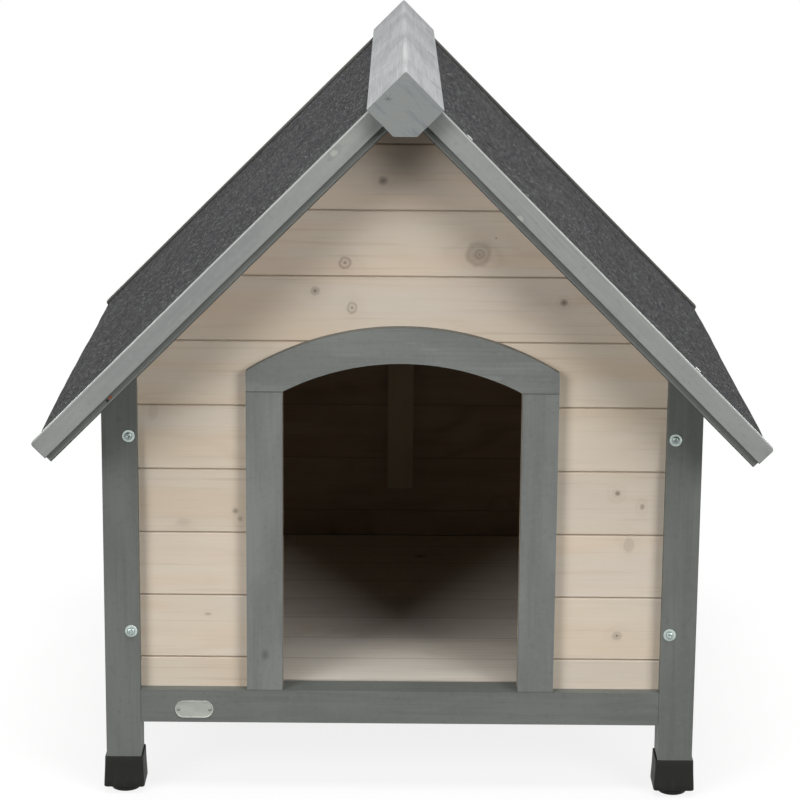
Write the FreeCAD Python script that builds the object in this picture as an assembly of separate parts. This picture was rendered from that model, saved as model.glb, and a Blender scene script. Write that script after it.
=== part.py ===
import FreeCAD, Part
import math
import os

# A wooden dog house: four posts on plastic feet with levelling glides, walls of
# tongue and groove boards, an arched doorway, and a felted roof whose two halves
# butt against a ridge beam that stands on its corner.
# Origin: on the floor, under the middle of the whole house. +X is right as seen
# from the front, the front faces -Y, +Z is up. Millimetres.

# ---------------------------------------------------------------- driving sizes
overall_height = 813.0
roof_width = 773.0          # eave to eave
front_overhang = 88.0       # of the front barges past the front posts
rear_overhang = 30.0        # of the rear barges past the rear posts
beam_overhang = 28.0        # of the ridge beam past each barge
body_width = 646.0          # over the posts
body_length = 650.0         # over the posts

post_side = 38.0
rail_height = 37.0          # sills and bottom rails
rail_depth = 35.0
top_rail_height = 37.0
sill_bottom = 83.5          # above the floor

wall_setback = 14.0         # outer face of the boards behind the face of the posts
wall_thickness = 15.0
board_pitch = 71.1
first_joint = 154.3         # height of the lowest joint between boards
tongue_height = 5.0
tongue_thickness = 4.5
tongue_clearance = 0.3
joint_chamfer = 1.5         # on the outer edges where two boards meet

doorway_width = 258.0
arch_radius = 277.0         # of the opening
arch_centre_height = 212.0
jamb_width = 39.0
jamb_thickness = 13.5
arch_band = 38.5            # of the arch piece, from its inner to its outer curve
arch_corner = 3.0

batten_width = 33.0
batten_thickness = 15.0
rear_batten_bottom = 188.0
gable_batten_rise = 18.0    # its lower end above the crown of the doorway

floor_thickness = 15.0
floor_step = 1.0            # top of the floor above the top of the sill
floor_pitch = 75.5          # width of each floor board
cleat_side = 20.0
cleat_end_gap = 5.0
floor_gap = 0.3             # round the floor, and at the notches for the posts

beam_side = 55.0
beam_flat = 24.0            # width planed on the beam's lower corner
beam_edge_chamfer = 1.5     # planed off the beam's top edge
beam_face_step = 4.3        # from the beam's side corner down its face to the barge
barge_height = 22.0
barge_thickness = 8.0
barge_end_round = 4.0
barge_edge_chamfer = 1.0    # on both long edges of the outer face
felt_depth = 3.6            # top of the felt below the top of the barges
felt_thickness = 2.5
plank_thickness = 15.0
plank_count = 6
plank_chamfer = 1.2
rafter_width = 40.0         # at the front; the rear ones fill the narrow overhang
rafter_thickness = 8.5
rafter_edge_chamfer = 1.2   # on the lower outer edge

foot_bottom = 8.0
foot_top = 43.0
foot_flare = 3.0            # on each side, at the bottom
foot_flare_share = 0.35     # of the height below the rim, where the flare ends
foot_rim = 4.0
foot_corner = 3.0
glide_diameter = 32.0
glide_flat = 24.0
glide_edge = 3.0
glide_gap = 0.3
stem_diameter = 8.0
stem_length = 26.0
stem_clearance = 0.3
stem_end_gap = 2.0

screw_inset = 9.0           # from the inner edge of the post
screw_above_sill = 67.5     # the lower screw, above the top of the sill
screw_below_seat = 47.5     # the upper screw, below the roof's seat on the post's outer face
screw_head_diameter = 8.4
screw_head_height = 3.0
screw_head_wall = 1.2       # height of the head's upright edge
screw_head_shoulder = 2.5   # height where the dome turns over
screw_shoulder_radius = 3.4
screw_crown_radius = 1.9
screw_diameter = 4.0
screw_length = 32.0
screw_clearance = 0.3
washer_diameter = 13.4
washer_thickness = 1.2

plate_width = 44.0
plate_height = 20.0
plate_thickness = 1.0
plate_offset = 59.0         # middle of the plate from the inner edge of the left post
plate_drop = 22.0           # middle of the plate below the top of the sill
plate_nail_spacing = 35.0
plate_nail_diameter = 2.2
plate_nail_length = 10.0
plate_nail_head = 3.4
plate_nail_head_height = 0.7
plate_nail_clearance = 0.2

match_tolerance = 0.01      # between two places that are taken as one

# -------------------------------------------------------------- worked-out sizes
ROOT_HALF = math.sqrt(0.5)
half_width = body_width / 2
half_length = body_length / 2
half_roof = (front_overhang + body_length + rear_overhang) / 2
body_shift = (front_overhang - rear_overhang) / 2
post_inner_x = half_width - post_side
post_inner_y = half_length - post_side
rail_inner_x = half_width - rail_depth
rail_inner_y = half_length - rail_depth
rail_top = sill_bottom + rail_height
board_outer = wall_setback
board_inner = wall_setback + wall_thickness

half_diagonal = beam_side * ROOT_HALF
beam_axis = overall_height - half_diagonal + beam_edge_chamfer * ROOT_HALF
beam_flat_height = beam_axis - (half_diagonal - beam_flat / 2)
beam_half_length = half_roof + beam_overhang

# The slopes run at half a right angle, square to the lower faces of the beam.
# The slope's start is where the top edge of a barge meets the beam.
slope_start_x = half_diagonal - beam_face_step * ROOT_HALF
slope_start_z = beam_axis - beam_face_step * ROOT_HALF
rounded_away = barge_end_round * (1 / ROOT_HALF - 1)
slope_length = (roof_width / 2 + rounded_away - slope_start_x) / ROOT_HALF
plank_top = felt_depth + felt_thickness
plank_bottom = plank_top + plank_thickness
rafter_bottom = plank_bottom + rafter_thickness
seat_sum = slope_start_x + slope_start_z - plank_bottom / ROOT_HALF
barge_inner = half_roof - barge_thickness

door_half = doorway_width / 2
arch_crown = arch_centre_height + arch_radius
arch_spring = arch_centre_height + math.sqrt(arch_radius ** 2 - door_half ** 2)
floor_top = rail_top + floor_step
floor_bottom = floor_top - floor_thickness


# ------------------------------------------------------------------ small helpers
def box(x0, x1, y0, y1, z0, z1):
    return Part.makeBox(x1 - x0, y1 - y0, z1 - z0, FreeCAD.Vector(x0, y0, z0))


def polygon(points):
    return Part.Face(Part.makePolygon(points + [points[0]]))


def prism_along_y(outline, y0, y1):
    """Extrude an outline of (x, z) points from y0 to y1."""
    face = polygon([FreeCAD.Vector(x, y0, z) for x, z in outline])
    return face.extrude(FreeCAD.Vector(0, y1 - y0, 0))


def prism_along_x(outline, x0, x1):
    """Extrude an outline of (y, z) points from x0 to x1."""
    face = polygon([FreeCAD.Vector(x0, y, z) for y, z in outline])
    return face.extrude(FreeCAD.Vector(x1 - x0, 0, 0))


def mirror_x(shape):
    return shape.mirror(FreeCAD.Vector(0, 0, 0), FreeCAD.Vector(1, 0, 0))


def mirror_y(shape):
    return shape.mirror(FreeCAD.Vector(0, 0, 0), FreeCAD.Vector(0, 1, 0))


def disc(radius, x, y, z, height, direction=FreeCAD.Vector(0, 0, 1)):
    return Part.makeCylinder(radius, height, FreeCAD.Vector(x, y, z), direction)


def revolved(outline, x, y, z, direction):
    """Turn an outline of (radius, distance) points about an axis through a point."""
    face = polygon([FreeCAD.Vector(r, 0, d) for r, d in outline])
    solid = face.revolve(FreeCAD.Vector(0, 0, 0), FreeCAD.Vector(0, 0, 1), 360)
    turn = FreeCAD.Rotation(FreeCAD.Vector(0, 0, 1), direction)
    solid.Placement = FreeCAD.Placement(FreeCAD.Vector(x, y, z), turn)
    return solid


def arc_through(start, middle, end):
    return Part.Arc(start, middle, end).toShape()


def save(name, solids, shift):
    """Export one node, a single solid or a group of them, moved back by a shift."""
    moved = [solid.translated(FreeCAD.Vector(0, shift, 0)) for solid in solids]
    shape = moved[0] if len(moved) == 1 else Part.makeCompound(moved)
    shape.exportStep("parts/" + name + ".step")
    print(name, len(shape.Solids), round(shape.Volume / 1000, 1), shape.isValid())


# ------------------------------------------------------------------- wall outlines
def doorway_prism(y0, y1):
    """The arched opening, run from y0 to y1 and down past the top of the sill."""
    low = sill_bottom
    corner_l = FreeCAD.Vector(-door_half, y0, low)
    corner_r = FreeCAD.Vector(door_half, y0, low)
    spring_l = FreeCAD.Vector(-door_half, y0, arch_spring)
    spring_r = FreeCAD.Vector(door_half, y0, arch_spring)
    crown = FreeCAD.Vector(0, y0, arch_crown)
    edges = [
        Part.makeLine(corner_r, corner_l),
        Part.makeLine(corner_l, spring_l),
        arc_through(spring_l, crown, spring_r),
        Part.makeLine(spring_r, corner_r),
    ]
    return Part.Face(Part.Wire(edges)).extrude(FreeCAD.Vector(0, y1 - y0, 0))


def gable_outline():
    """A gable wall between its posts, under the planks and the ridge beam."""
    notch_x = (seat_sum - (beam_axis - half_diagonal)) / 2
    notch_z = seat_sum - notch_x
    right = [
        (post_inner_x, rail_top),
        (post_inner_x, seat_sum - post_inner_x),
        (notch_x, notch_z),
        (beam_flat / 2, beam_flat_height),
    ]
    left = [(-x, z) for x, z in reversed(right)]
    return right + left


def board_profile(outer, direction, low, high, grooved, tongued):
    """Section of one board as (offset, height) points.

    outer is the offset of its outer face, direction is +1 or -1 from the outer
    face to the inner one.
    """
    def at(depth, height):
        return (outer + direction * depth, height)

    middle = wall_thickness / 2
    tongue = tongue_thickness / 2
    groove = tongue + tongue_clearance
    groove_top = low + tongue_height + 2 * tongue_clearance
    points = []
    if grooved:
        points += [at(0, low + joint_chamfer), at(joint_chamfer, low)]
        points += [at(middle - groove, low), at(middle - groove, groove_top)]
        points += [at(middle + groove, groove_top), at(middle + groove, low)]
    else:
        points += [at(0, low)]
    points += [at(wall_thickness, low), at(wall_thickness, high)]
    if tongued:
        tip = high + tongue_height
        points += [at(middle + tongue, high), at(middle + tongue, tip)]
        points += [at(middle - tongue, tip), at(middle - tongue, high)]
        points += [at(joint_chamfer, high), at(0, high - joint_chamfer)]
    else:
        points += [at(0, high)]
    return points


def courses(top):
    """Lower and upper heights of each course of boards, up to the given top."""
    heights = [rail_top]
    joint = first_joint
    while joint < top - joint_chamfer - tongue_height:
        if joint > rail_top + joint_chamfer + tongue_height:
            heights.append(joint)
        joint += board_pitch
    heights.append(top)
    return list(zip(heights[:-1], heights[1:]))


def wall_courses(top, outer, direction, make_prism, span, outline):
    """Boards of one wall, each clipped to the wall's outline."""
    rows = courses(top)
    boards = []
    for number, (low, high) in enumerate(rows):
        grooved = number > 0
        tongued = number < len(rows) - 1
        profile = board_profile(outer, direction, low, high, grooved, tongued)
        board = make_prism(profile, -span, span)
        if outline is not None:
            board = board.common(outline)
        boards.append(board.Solids)
    return boards


# --------------------------------------------------------------------- lower frame
def roof_seat():
    """Everything under the planks, used to bevel what the roof rests on."""
    reach = half_width + post_side
    outline = [(-reach, 0), (reach, 0), (reach, seat_sum - reach), (0, seat_sum)]
    outline += [(-reach, seat_sum - reach)]
    return prism_along_y(outline, -half_length, half_length)


def screw_places():
    """Middle of each screw on the front posts, as (x, z)."""
    x = post_inner_x + screw_inset
    lower = rail_top + screw_above_sill
    upper = seat_sum - half_width - screw_below_seat
    return [(side * x, z) for side in (-1, 1) for z in (lower, upper)]


def make_posts(seat):
    """Front left, front right, rear left and rear right posts, bored for screws."""
    post = box(post_inner_x, half_width, -half_length, -post_inner_y, foot_top, overall_height)
    post = post.common(seat)
    bore = screw_diameter / 2 + screw_clearance
    depth = screw_length + screw_clearance
    for x, z in screw_places():
        if x > 0:
            post = post.cut(disc(bore, x, -half_length, z, depth, FreeCAD.Vector(0, 1, 0)))
    return {
        "post_front_right": post,
        "post_front_left": mirror_x(post),
        "post_rear_right": mirror_y(post),
        "post_rear_left": mirror_x(mirror_y(post)),
    }


def rounded_square(side, corner, x, y, z):
    """A wire: a square with rounded corners, lying flat round (x, y)."""
    half = side / 2
    straight = half - corner
    bulge = straight + corner * ROOT_HALF
    edges = []
    for quarter in range(4):
        turn = FreeCAD.Rotation(FreeCAD.Vector(0, 0, 1), 90 * quarter)
        middle = FreeCAD.Vector(x, y, z)
        a = middle + turn.multVec(FreeCAD.Vector(half, -straight, 0))
        b = middle + turn.multVec(FreeCAD.Vector(half, straight, 0))
        c = middle + turn.multVec(FreeCAD.Vector(bulge, bulge, 0))
        d = middle + turn.multVec(FreeCAD.Vector(straight, half, 0))
        edges += [Part.makeLine(a, b), arc_through(b, c, d)]
    return Part.Wire(edges)


def make_foot(x, y):
    """Plastic foot: a short rim as wide as the post, then a flare to the floor."""
    bottom_side = post_side + 2 * foot_flare
    flare_end = foot_bottom + (foot_top - foot_rim - foot_bottom) * foot_flare_share
    sections = [
        rounded_square(bottom_side, foot_corner, x, y, foot_bottom),
        rounded_square(post_side + foot_flare, foot_corner, x, y, flare_end),
        rounded_square(post_side, foot_corner, x, y, foot_top - foot_rim),
        rounded_square(post_side, foot_corner, x, y, foot_top),
    ]
    foot = Part.makeLoft(sections, True, True)
    depth = stem_length + stem_end_gap
    return foot.cut(disc(stem_diameter / 2 + stem_clearance, x, y, foot_bottom, depth))


def make_glide(x, y):
    """Levelling glide: a domed disc on a stem that screws up into the foot."""
    radius = glide_diameter / 2
    top = foot_bottom - glide_gap
    knee = top - glide_edge
    flat = glide_flat / 2
    # The dome leaves the flat at a tangent, so its bend follows from its run and rise.
    run = radius - flat
    bend = (run ** 2 + knee ** 2) / (2 * knee)
    half_turn = (math.atan2(knee - bend, run) - math.pi / 2) / 2
    dome_x = x + flat + bend * math.cos(half_turn)
    dome = FreeCAD.Vector(dome_x, y, bend + bend * math.sin(half_turn))
    axis_bottom = FreeCAD.Vector(x, y, 0)
    axis_top = FreeCAD.Vector(x, y, top)
    flat_end = FreeCAD.Vector(x + flat, y, 0)
    rim_low = FreeCAD.Vector(x + radius, y, knee)
    rim_high = FreeCAD.Vector(x + radius, y, top)
    edges = [
        Part.makeLine(axis_bottom, flat_end),
        arc_through(flat_end, dome, rim_low),
        Part.makeLine(rim_low, rim_high),
        Part.makeLine(rim_high, axis_top),
        Part.makeLine(axis_top, axis_bottom),
    ]
    pad = Part.Face(Part.Wire(edges)).revolve(axis_bottom, FreeCAD.Vector(0, 0, 1), 360)
    stem = disc(stem_diameter / 2, x, y, top - glide_edge / 2, stem_length + glide_edge / 2)
    return pad.fuse(stem).removeSplitter()


def make_plate_bores():
    """Bores in the front sill for the two nails of the plate."""
    middle_x, middle_z = plate_middle()
    radius = plate_nail_diameter / 2 + plate_nail_clearance
    along = FreeCAD.Vector(0, 1, 0)
    places = [middle_x - plate_nail_spacing / 2, middle_x + plate_nail_spacing / 2]
    bores = [disc(radius, x, -half_length, middle_z, plate_nail_length, along) for x in places]
    return Part.makeCompound(bores)


def make_rails(seat):
    front_sill = box(-post_inner_x, post_inner_x, -half_length, -rail_inner_y, sill_bottom, rail_top)
    rear_sill = mirror_y(front_sill)
    bottom_rail = box(rail_inner_x, half_width, -post_inner_y, post_inner_y, sill_bottom, rail_top)
    low = top_rail_bottom()
    top_rail = box(rail_inner_x, half_width, -post_inner_y, post_inner_y, low, overall_height)
    top_rail = top_rail.common(seat)
    return {
        "front_sill": front_sill.cut(make_plate_bores()),
        "rear_sill": rear_sill,
        "bottom_rail_right": bottom_rail,
        "bottom_rail_left": mirror_x(bottom_rail),
        "top_rail_right": top_rail,
        "top_rail_left": mirror_x(top_rail),
    }


def top_rail_bottom():
    """The top rail hangs its own height below the roof's seat at its outer face."""
    return seat_sum - half_width - top_rail_height


# --------------------------------------------------------------------------- walls
def make_front_boards():
    outer = -half_length + board_outer
    clip = prism_along_y(gable_outline(), -half_length, 0)
    clip = clip.cut(doorway_prism(-half_length, 0))
    return wall_courses(seat_sum, outer, 1, prism_along_x, post_inner_x, clip)


def make_rear_boards():
    clip = prism_along_y(gable_outline(), 0, half_length)
    outer = half_length - board_outer
    rows = wall_courses(seat_sum, outer, -1, prism_along_x, post_inner_x, clip)
    return [solid for row in rows for solid in row]


def make_side_boards():
    outer = half_width - board_outer
    rows = wall_courses(top_rail_bottom(), outer, -1, prism_along_y, post_inner_y, None)
    return [solid for row in rows for solid in row]


def make_door_frame():
    """Two jambs on the sill, and a curved head that rests on them."""
    y0 = -half_length + board_outer - jamb_thickness
    y1 = -half_length + board_outer
    outer_x = door_half + jamb_width
    jamb = box(door_half, outer_x, y0, y1, rail_top, arch_spring)
    outer_radius = arch_radius + arch_band
    shoulder = arch_centre_height + math.sqrt(outer_radius ** 2 - outer_x ** 2)
    crown = FreeCAD.Vector(0, y0, arch_centre_height + outer_radius)
    foot_l = FreeCAD.Vector(-outer_x, y0, arch_spring)
    foot_r = FreeCAD.Vector(outer_x, y0, arch_spring)
    shoulder_l = FreeCAD.Vector(-outer_x, y0, shoulder)
    shoulder_r = FreeCAD.Vector(outer_x, y0, shoulder)
    edges = [
        Part.makeLine(foot_r, foot_l),
        Part.makeLine(foot_l, shoulder_l),
        arc_through(shoulder_l, crown, shoulder_r),
        Part.makeLine(shoulder_r, foot_r),
    ]
    head = Part.Face(Part.Wire(edges)).extrude(FreeCAD.Vector(0, y1 - y0, 0))
    head = head.cut(doorway_prism(y0, y1))
    ends = [edge for edge in head.Edges if is_shoulder_edge(edge, outer_x, shoulder)]
    head = head.makeFillet(arch_corner, ends)
    return {"door_jamb_right": jamb, "door_jamb_left": mirror_x(jamb), "door_arch": head}


def is_shoulder_edge(edge, outer_x, shoulder):
    """True for the two short edges where the curved head meets its upright ends."""
    middle = edge.CenterOfMass
    along_depth = edge.BoundBox.YLength > jamb_thickness / 2
    off_side = abs(abs(middle.x) - outer_x)
    off_height = abs(middle.z - shoulder)
    return along_depth and max(off_side, off_height) < match_tolerance


def make_battens():
    """Upright battens inside the gables, which hold the boards together."""
    half = batten_width / 2
    y1 = half_length - board_inner
    y0 = y1 - batten_thickness
    rear = box(-half, half, y0, y1, rear_batten_bottom, beam_flat_height)
    low = arch_crown + gable_batten_rise
    front = mirror_y(box(-half, half, y0, y1, low, beam_flat_height))
    return {"rear_batten": rear, "front_gable_batten": front}


# --------------------------------------------------------------------------- floor
def make_floor():
    """Boards across the house, laid from the front, the last one cut to fit."""
    half_x = rail_inner_x - floor_gap
    half_y = rail_inner_y - floor_gap
    whole_boards = int(2 * half_y // floor_pitch)
    edges = [floor_pitch * number - half_y for number in range(whole_boards + 1)]
    if half_y - edges[-1] > match_tolerance:
        edges.append(half_y)
    posts = []
    for side_x in (-1, 1):
        for side_y in (-1, 1):
            x = side_x * (half_width - post_side / 2)
            y = side_y * (half_length - post_side / 2)
            reach = post_side / 2 + floor_gap
            posts.append(box(x - reach, x + reach, y - reach, y + reach, floor_bottom, floor_top))
    notches = Part.makeCompound(posts)
    boards = []
    for y0, y1 in zip(edges[:-1], edges[1:]):
        boards.append(box(-half_x, half_x, y0, y1, floor_bottom, floor_top))
    boards[0] = boards[0].cut(notches)
    boards[-1] = boards[-1].cut(notches)
    return [solid for board in boards for solid in board.Solids]


def make_cleats():
    """Square cleats on the side rails and one joist between the sills."""
    low = floor_bottom - cleat_side
    half_y = post_inner_y - cleat_end_gap
    right = box(rail_inner_x - cleat_side, rail_inner_x, -half_y, half_y, low, floor_bottom)
    middle = box(-cleat_side / 2, cleat_side / 2, -rail_inner_y, rail_inner_y, low, floor_bottom)
    return [mirror_x(right), middle, right]


# ---------------------------------------------------------------------------- roof
def slope_point(along, depth):
    """A point of the right slope: along it from the beam, and depth below its top."""
    x = slope_start_x + (along - depth) * ROOT_HALF
    z = slope_start_z - (along + depth) * ROOT_HALF
    return (x, z)


def slope_prism(corners, y0, y1):
    return prism_along_y([slope_point(along, depth) for along, depth in corners], y0, y1)


def slope_bar(along0, along1, depth0, depth1, y0, y1):
    corners = [(along0, depth0), (along1, depth0), (along1, depth1), (along0, depth1)]
    return slope_prism(corners, y0, y1)


def make_beam():
    """Square beam on its corner, the lower corner planed flat, the top one eased."""
    outline = [
        (0, beam_axis + half_diagonal),
        (half_diagonal, beam_axis),
        (beam_flat / 2, beam_flat_height),
        (-beam_flat / 2, beam_flat_height),
        (-half_diagonal, beam_axis),
    ]
    beam = prism_along_y(outline, -beam_half_length, beam_half_length)
    top = FreeCAD.Vector(0, 0, beam_axis + half_diagonal)
    top_edges = [e for e in beam.Edges if e.CenterOfMass.distanceToPoint(top) < match_tolerance]
    return beam.makeChamfer(beam_edge_chamfer, top_edges)


def slope_edges(shape, depth, y):
    """Edges that run down the right slope, at a depth below its top and at a y."""
    top_x, top_z = slope_point(0, depth)
    found = []
    for edge in shape.Edges:
        middle = edge.CenterOfMass
        runs_down = edge.Length > slope_length / 2
        at_depth = abs(middle.x + middle.z - top_x - top_z) < match_tolerance
        if runs_down and at_depth and abs(middle.y - y) < match_tolerance:
            found.append(edge)
    return found


def make_barge():
    """Front barge of the right slope, its lower end rounded at the top corner."""
    barge = slope_bar(0, slope_length, 0, barge_height, -half_roof, -barge_inner)
    corner_x, corner_z = slope_point(slope_length, 0)
    end_edges = []
    for edge in barge.Edges:
        middle = edge.CenterOfMass
        if math.hypot(middle.x - corner_x, middle.z - corner_z) < match_tolerance:
            end_edges.append(edge)
    barge = barge.makeFillet(barge_end_round, end_edges)
    outer_edges = slope_edges(barge, 0, -half_roof)
    outer_edges += slope_edges(barge, barge_height, -half_roof)
    return barge.makeChamfer(barge_edge_chamfer, outer_edges)


def make_rafter(y0, y1, outer_y):
    """Flat rafter under the planks, from y0 to y1, its lower outer edge eased."""
    rafter = slope_bar(0, slope_length, plank_bottom, rafter_bottom, y0, y1)
    return rafter.makeChamfer(rafter_edge_chamfer, slope_edges(rafter, rafter_bottom, outer_y))


def make_planks():
    """Planks of the right slope, chamfered where they meet on the underside."""
    end = slope_length - felt_thickness
    pitch = end / plank_count
    planks = []
    for number in range(plank_count):
        a = number * pitch
        b = a + pitch
        low_a = a + plank_chamfer if number > 0 else a
        low_b = b - plank_chamfer if number < plank_count - 1 else b
        raised = plank_bottom - plank_chamfer
        corners = [(a, plank_top), (b, plank_top), (b, raised if low_b < b else plank_bottom)]
        if low_b < b:
            corners.append((low_b, plank_bottom))
        corners.append((low_a, plank_bottom))
        if low_a > a:
            corners.append((a, raised))
        planks.append(slope_prism(corners, -barge_inner, barge_inner))
    return planks


def make_felt():
    """Roofing felt on the planks, turned down over their lower ends."""
    end = slope_length
    inside = end - felt_thickness
    corners = [(0, felt_depth), (end, felt_depth), (end, plank_bottom)]
    corners += [(inside, plank_bottom), (inside, plank_top), (0, plank_top)]
    return slope_prism(corners, -barge_inner, barge_inner)


def make_roof():
    barge = make_barge()
    rear_width = rear_overhang - barge_thickness
    rafter = make_rafter(-barge_inner, -barge_inner + rafter_width, -barge_inner)
    rear_rafter = make_rafter(barge_inner - rear_width, barge_inner, barge_inner)
    planks = make_planks()
    felt = make_felt()
    right = {
        "barge_front": [barge],
        "barge_rear": [mirror_y(barge)],
        "rafter_front": [rafter],
        "rafter_rear": [rear_rafter],
        "roof_planks": planks,
        "roof_felt": [felt],
    }
    nodes = {"ridge_beam": [make_beam()]}
    for name, solids in right.items():
        nodes[name + "_right"] = solids
        nodes[name + "_left"] = [mirror_x(solid) for solid in solids]
    return nodes


# -------------------------------------------------------------------- small fittings
def make_screws():
    """Pan-head screws on washers, through the front and the rear posts."""
    outward = FreeCAD.Vector(0, -1, 0)
    screws = []
    washers = []
    head = screw_head_diameter / 2
    shank = screw_diameter / 2
    for x, z in screw_places():
        ring = disc(washer_diameter / 2, x, -half_length, z, washer_thickness, outward)
        hole = disc(shank + screw_clearance, x, -half_length, z, washer_thickness, outward)
        washer = ring.cut(hole)
        outline = [
            (0, washer_thickness - screw_length),
            (shank, washer_thickness - screw_length),
            (shank, washer_thickness),
            (head, washer_thickness),
            (head, washer_thickness + screw_head_wall),
            (screw_shoulder_radius, washer_thickness + screw_head_shoulder),
            (screw_crown_radius, washer_thickness + screw_head_height),
            (0, washer_thickness + screw_head_height),
        ]
        screw = revolved(outline, x, -half_length, z, outward)
        screws += [screw, mirror_y(screw)]
        washers += [washer, mirror_y(washer)]
    return screws, washers


def plate_middle():
    return (-post_inner_x + plate_offset, rail_top - plate_drop)


def make_plate():
    """A bare plate with rounded ends, nailed to the front sill."""
    x, z = plate_middle()
    front = -half_length - plate_thickness
    radius = plate_height / 2
    reach = plate_width / 2 - radius
    upper_l = FreeCAD.Vector(x - reach, front, z + radius)
    upper_r = FreeCAD.Vector(x + reach, front, z + radius)
    lower_l = FreeCAD.Vector(x - reach, front, z - radius)
    lower_r = FreeCAD.Vector(x + reach, front, z - radius)
    end_l = FreeCAD.Vector(x - reach - radius, front, z)
    end_r = FreeCAD.Vector(x + reach + radius, front, z)
    edges = [
        Part.makeLine(upper_l, upper_r),
        arc_through(upper_r, end_r, lower_r),
        Part.makeLine(lower_r, lower_l),
        arc_through(lower_l, end_l, upper_l),
    ]
    plate = Part.Face(Part.Wire(edges)).extrude(FreeCAD.Vector(0, plate_thickness, 0))
    shank = plate_nail_diameter / 2
    inward = FreeCAD.Vector(0, 1, 0)
    nails = []
    for nail_x in (x - plate_nail_spacing / 2, x + plate_nail_spacing / 2):
        bore = shank + plate_nail_clearance
        plate = plate.cut(disc(bore, nail_x, front, z, plate_thickness, inward))
        head_front = front - plate_nail_head_height
        head = disc(plate_nail_head / 2, nail_x, head_front, z, plate_nail_head_height, inward)
        nail = head.fuse(disc(shank, nail_x, front, z, plate_nail_length, inward))
        nails.append(nail.removeSplitter())
    return [plate], nails


# --------------------------------------------------------------------------- build
def make_body():
    """Everything under the roof, as nodes placed round the middle of the walls."""
    seat = roof_seat()
    nodes = {name: [solid] for name, solid in make_posts(seat).items()}
    for side_x, side in ((-1, "left"), (1, "right")):
        for side_y, end in ((-1, "front"), (1, "rear")):
            x = side_x * (half_width - post_side / 2)
            y = side_y * (half_length - post_side / 2)
            nodes["foot_" + end + "_" + side] = [make_foot(x, y)]
            nodes["glide_" + end + "_" + side] = [make_glide(x, y)]
    for number, solids in enumerate(make_front_boards()):
        nodes["front_board_" + str(number + 1).zfill(2)] = solids
    side_boards = make_side_boards()
    nodes["rear_wall_boards"] = make_rear_boards()
    nodes["right_wall_boards"] = side_boards
    nodes["left_wall_boards"] = [mirror_x(board) for board in side_boards]
    single = {**make_rails(seat), **make_door_frame(), **make_battens()}
    nodes.update({name: [solid] for name, solid in single.items()})
    nodes["floor_boards"] = make_floor()
    nodes["floor_cleats"] = make_cleats()
    nodes["post_screws"], nodes["post_washers"] = make_screws()
    nodes["sill_plate"], nodes["plate_nails"] = make_plate()
    return nodes


def main():
    os.makedirs("parts", exist_ok=True)
    for name, solids in make_body().items():
        save(name, solids, body_shift)
    for name, solids in make_roof().items():
        save(name, solids, 0)


main()
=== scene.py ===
"""Looks of the dog house: camera, studio, and a procedural material for every piece.

Lengths are in metres in the model's own frame: the floor is z = 0, the front faces -Y, +Z is up.
"""
import math
from collections import namedtuple
from functools import cached_property

import bmesh
import bpy
from mathutils import Matrix, Vector, noise


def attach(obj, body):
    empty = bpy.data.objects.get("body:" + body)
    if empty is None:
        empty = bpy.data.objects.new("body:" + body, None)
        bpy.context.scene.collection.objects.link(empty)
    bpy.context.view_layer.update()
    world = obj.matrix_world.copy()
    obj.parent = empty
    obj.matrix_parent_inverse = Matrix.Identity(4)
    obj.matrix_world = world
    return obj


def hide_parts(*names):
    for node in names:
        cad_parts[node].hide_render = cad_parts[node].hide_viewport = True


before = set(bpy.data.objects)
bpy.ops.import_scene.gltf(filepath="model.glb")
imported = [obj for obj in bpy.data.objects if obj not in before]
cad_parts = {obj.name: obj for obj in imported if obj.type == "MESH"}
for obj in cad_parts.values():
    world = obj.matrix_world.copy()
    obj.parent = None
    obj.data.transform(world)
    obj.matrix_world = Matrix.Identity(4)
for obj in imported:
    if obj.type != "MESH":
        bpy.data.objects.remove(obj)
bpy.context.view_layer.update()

# ------------------------- sizes and places
MM = 0.001
HALF_SQUARE = math.sqrt(0.5)

CAMERA_PLACE = Vector((-0.0108, -3.1482, 1.1219))
CAMERA_FOCAL_PIXELS = 2737.8
CAMERA_PITCH = 13.265
CAMERA_YAW = -0.163
CAMERA_ROLL = 0.493
IMAGE_PIXELS = 800
SENSOR_WIDTH = 36.0

FRONT_Y = -296 * MM  # faces of the front posts and the front sill
REAR_Y = 354 * MM
POST_INNER_X = 285 * MM
POST_MIDDLE_X = 304 * MM
POST_MIDDLE_Y = (-277 * MM, 335 * MM)
SILL_TOP = 120.5 * MM
ARCH_SPRING = 457.1 * MM  # where the door head rests on the jambs
FRONT_BOARD_MIDDLE_Y = -274.5 * MM
REAR_BOARD_MIDDLE_Y = 332.5 * MM
SIDE_BOARD_MIDDLE_X = 301.5 * MM

BOARD_JOINT = 154.3 * MM
BOARD_PITCH = 71.1 * MM
FLOOR_START_Y = -260.7 * MM
FLOOR_BOARD_PITCH = 75.5 * MM
PLANK_PITCH = 82.6 * MM

BEAM_END_Y = 412 * MM
RIDGE_Z = 813 * MM
SLOPE_START_X = 35.85 * MM  # where the top of a barge meets the beam
SLOPE_START_Z = 772.13 * MM
SLOPE_LENGTH = 498.2 * MM
BARGE_TOP = (SLOPE_START_X + SLOPE_START_Z) * HALF_SQUARE
BARGE_HEIGHT = 22 * MM
BARGE_INNER_Y = 376 * MM
RAFTER_DEPTH = 29.6 * MM
FELT_DEPTH = 3.6 * MM

# Start and pitch of the boards across their grain.
WALL_COURSES = (BOARD_JOINT - 2 * BOARD_PITCH, BOARD_PITCH)
FLOOR_COURSES = (FLOOR_START_Y, FLOOR_BOARD_PITCH)
PLANK_COURSES = ((SLOPE_START_X - SLOPE_START_Z) * HALF_SQUARE, PLANK_PITCH)

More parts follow.
